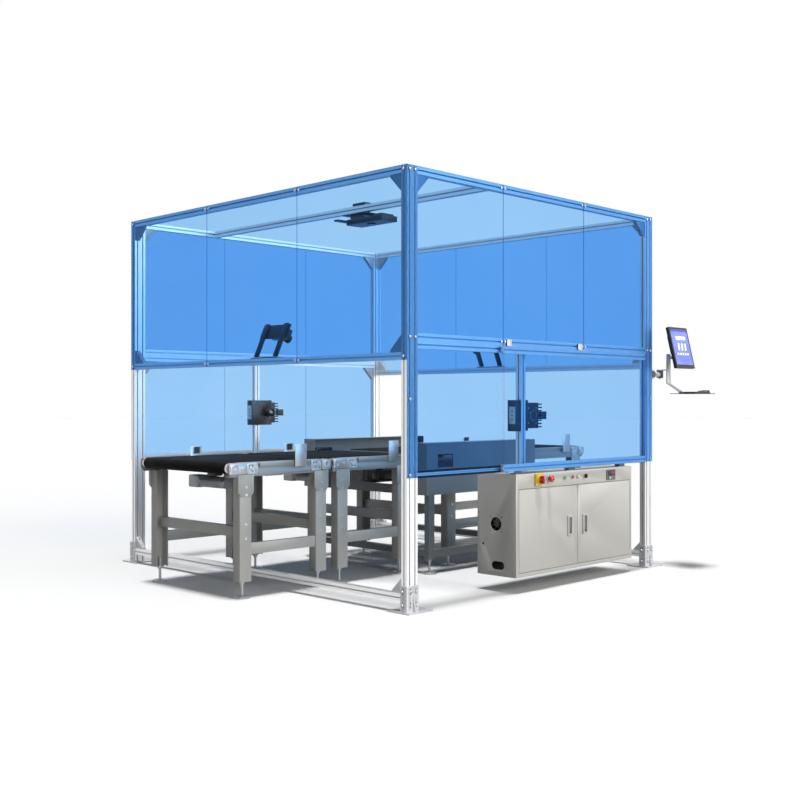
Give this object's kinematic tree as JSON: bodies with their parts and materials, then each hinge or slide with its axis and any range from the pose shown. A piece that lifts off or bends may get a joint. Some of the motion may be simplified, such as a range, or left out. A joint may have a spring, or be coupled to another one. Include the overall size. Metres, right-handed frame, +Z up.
{
  "type": "multi-side carton inspection cell",
  "caption": "Guarded inspection cell of T-slot bars with tinted panels, belt conveyors through it, overhead and side cameras, a control cabinet and a monitor arm",
  "frame": {"origin": "centre of the overall footprint, on the floor", "axes": "+X along the flow of the conveyors, +Y from the operator side to the back, +Z up"},
  "size_m": [3.2987, 2.997, 2.318],
  "materials": {
    "aluminium_bar": "clear anodised extrusion",
    "black_bar": "black anodised extrusion",
    "cast_aluminium": "die cast",
    "galvanised_steel": "zinc coated plate",
    "steel_fastener": "machined",
    "blue_panel": "transparent tinted sheet",
    "grey_paint": "satin powder coat",
    "light_paint": "zinc plated",
    "belt_rubber": "ribbed belt",
    "zinc_steel": "bright zinc",
    "motor_paint": "black paint",
    "dark_glass": "smoked glass",
    "light_lens": "diffuser",
    "black_metal": "black anodised",
    "lens_glass": "coated lens",
    "cabinet_paint": "fine texture powder coat",
    "grey_plastic": "moulded",
    "black_plastic": "moulded",
    "red_plastic": "moulded",
    "green_plastic": "moulded",
    "white_plastic": "moulded",
    "screen_glass": "display glass"
  },
  "bodies": {
    "root": {"arm_mount": "black_metal", "back_panels": "blue_panel", "cabinet_frame": "cabinet_paint", "cabinet_shell": "cabinet_paint", "camera_bodies": "black_metal", "camera_brackets": "black_metal", "camera_lenses": "lens_glass", "camera_support_bars": "aluminium_bar", "carton_sensors": "black_plastic", "control_bezels": "grey_plastic", "conveyor_belts": "belt_rubber", "conveyor_bolts": "steel_fastener", "conveyor_frames": "grey_paint", "conveyor_legs": "grey_paint", "corner_gussets": "cast_aluminium", "corner_posts": "aluminium_bar", "door_guides": "black_plastic", "end_panels": "blue_panel", "fan_frame": "black_plastic", "floor_cross_rails": "aluminium_bar", "frame_screws": "steel_fastener", "front_panels": "blue_panel", "gear_motors": "motor_paint", "leg_braces": "grey_paint", "levelling_feet": "zinc_steel", "lower_long_rails": "black_bar", "mid_rails": "aluminium_bar", "panel_meter": "grey_plastic", "post_feet": "galvanised_steel", "roller_end_plates": "light_paint", "scan_light_bars": "light_lens", "scanner_housing": "grey_paint", "scanner_windows": "dark_glass", "sensor_brackets": "light_paint", "top_rails": "aluminium_bar"},
    "service_door": {"door_rails": "aluminium_bar", "door_panel": "blue_panel"},
    "infeed_drive_roller": {"infeed_drive_roller": "zinc_steel"},
    "infeed_tail_roller": {"infeed_tail_roller": "zinc_steel"},
    "transfer_drive_roller": {"transfer_drive_roller": "zinc_steel"},
    "transfer_tail_roller": {"transfer_tail_roller": "zinc_steel"},
    "outfeed_drive_roller": {"outfeed_drive_roller": "zinc_steel"},
    "outfeed_tail_roller": {"outfeed_tail_roller": "zinc_steel"},
    "left_door": {"cabinet_left_door": "cabinet_paint"},
    "right_door": {"cabinet_right_door": "cabinet_paint"},
    "left_lever": {"left_handle_lever": "grey_plastic"},
    "right_lever": {"right_handle_lever": "grey_plastic"},
    "fan_rotor": {"fan_rotor": "black_plastic"},
    "main_switch": {"main_switch_knob": "red_plastic"},
    "emergency_stop": {"emergency_stop_button": "red_plastic"},
    "start_button": {"start_button": "green_plastic"},
    "stop_button": {"stop_button": "red_plastic"},
    "reset_button": {"reset_button": "white_plastic"},
    "selector": {"selector_knob": "black_plastic"},
    "arm": {"monitor_arm": "zinc_steel"},
    "bracket": {"monitor_bracket": "zinc_steel"},
    "monitor": {"monitor_case": "black_plastic", "monitor_screen": "screen_glass"},
    "tray": {"keyboard_tray": "black_metal", "keyboard_and_mouse": "black_plastic"}
  },
  "joints": [
    {"name": "service_door_slide", "type": "slide", "parent": "root", "child": "service_door", "axis": [-1, 0, 0], "range_m": [0, 0.655]},
    {"name": "infeed_drive_spin", "type": "hinge", "parent": "root", "child": "infeed_drive_roller", "pos_m": [-0.943, 0.2045, 0.7196], "axis": [0, 1, 0], "continuous": true},
    {"name": "infeed_tail_spin", "type": "hinge", "parent": "root", "child": "infeed_tail_roller", "pos_m": [-1.617, 0.2045, 0.7196], "axis": [0, 1, 0], "continuous": true},
    {"name": "transfer_drive_spin", "type": "hinge", "parent": "root", "child": "transfer_drive_roller", "pos_m": [-0.189, 0.2045, 0.7196], "axis": [0, 1, 0], "continuous": true},
    {"name": "transfer_tail_spin", "type": "hinge", "parent": "root", "child": "transfer_tail_roller", "pos_m": [-0.863, 0.2045, 0.7196], "axis": [0, 1, 0], "continuous": true},
    {"name": "outfeed_drive_spin", "type": "hinge", "parent": "root", "child": "outfeed_drive_roller", "pos_m": [1.617, 0.2045, 0.7196], "axis": [0, 1, 0], "continuous": true},
    {"name": "outfeed_tail_spin", "type": "hinge", "parent": "root", "child": "outfeed_tail_roller", "pos_m": [0.049, 0.2045, 0.7196], "axis": [0, 1, 0], "continuous": true},
    {"name": "left_door_hinge", "type": "hinge", "parent": "root", "child": "left_door", "pos_m": [-0.3455, -1.207, 0.35], "axis": [0, 0, 1], "range_deg": [-105, 0]},
    {"name": "right_door_hinge", "type": "hinge", "parent": "root", "child": "right_door", "pos_m": [0.7645, -1.207, 0.35], "axis": [0, 0, 1], "range_deg": [0, 105]},
    {"name": "left_handle_pull", "type": "hinge", "parent": "left_door", "child": "left_lever", "pos_m": [0.129, -1.2175, 0.391], "axis": [1, 0, 0], "range_deg": [-50, 0], "stiffness_Nm_per_rad": 0.05},
    {"name": "right_handle_pull", "type": "hinge", "parent": "right_door", "child": "right_lever", "pos_m": [0.283, -1.2175, 0.391], "axis": [1, 0, 0], "range_deg": [-50, 0], "stiffness_Nm_per_rad": 0.05},
    {"name": "fan_spin", "type": "hinge", "parent": "root", "child": "fan_rotor", "pos_m": [-0.368, -1.0675, 0.386], "axis": [1, 0, 0], "continuous": true},
    {"name": "main_switch_turn", "type": "hinge", "parent": "root", "child": "main_switch", "pos_m": [-0.179, -1.2435, 0.637], "axis": [0, 1, 0], "range_deg": [0, 90]},
    {"name": "emergency_stop_push", "type": "slide", "parent": "root", "child": "emergency_stop", "axis": [0, 1, 0], "range_m": [0, 0.005]},
    {"name": "start_button_push", "type": "slide", "parent": "root", "child": "start_button", "axis": [0, 1, 0], "range_m": [0, 0.0035], "stiffness_N_per_m": 400},
    {"name": "stop_button_push", "type": "slide", "parent": "root", "child": "stop_button", "axis": [0, 1, 0], "range_m": [0, 0.0035], "stiffness_N_per_m": 400},
    {"name": "reset_button_push", "type": "slide", "parent": "root", "child": "reset_button", "axis": [0, 1, 0], "range_m": [0, 0.0035], "stiffness_N_per_m": 400},
    {"name": "selector_turn", "type": "hinge", "parent": "root", "child": "selector", "pos_m": [0.278, -1.2285, 0.637], "axis": [0, 1, 0], "range_deg": [-45, 45]},
    {"name": "arm_swing", "type": "hinge", "parent": "root", "child": "arm", "pos_m": [1.118, -1.1635, 1.27], "axis": [0, 0, 1], "range_deg": [-20, 60]},
    {"name": "bracket_swivel", "type": "hinge", "parent": "arm", "child": "bracket", "pos_m": [1.218, -1.1635, 1.27], "axis": [0, 0, 1], "range_deg": [-20, 40]},
    {"name": "monitor_tilt", "type": "hinge", "parent": "bracket", "child": "monitor", "pos_m": [1.218, -1.2855, 1.378], "axis": [1, 0, 0], "range_deg": [-15, 13.5]},
    {"name": "keyboard_tray_fold", "type": "hinge", "parent": "bracket", "child": "tray", "pos_m": [1.218, -1.31898, 1.14965], "axis": [1, 0, 0], "range_deg": [-50, 0]}
  ],
  "couplings": [
    {"joint": "infeed_tail_spin", "follows": "infeed_drive_spin", "ratio": 1},
    {"joint": "transfer_tail_spin", "follows": "transfer_drive_spin", "ratio": 1},
    {"joint": "outfeed_tail_spin", "follows": "outfeed_drive_spin", "ratio": 1}
  ]
}
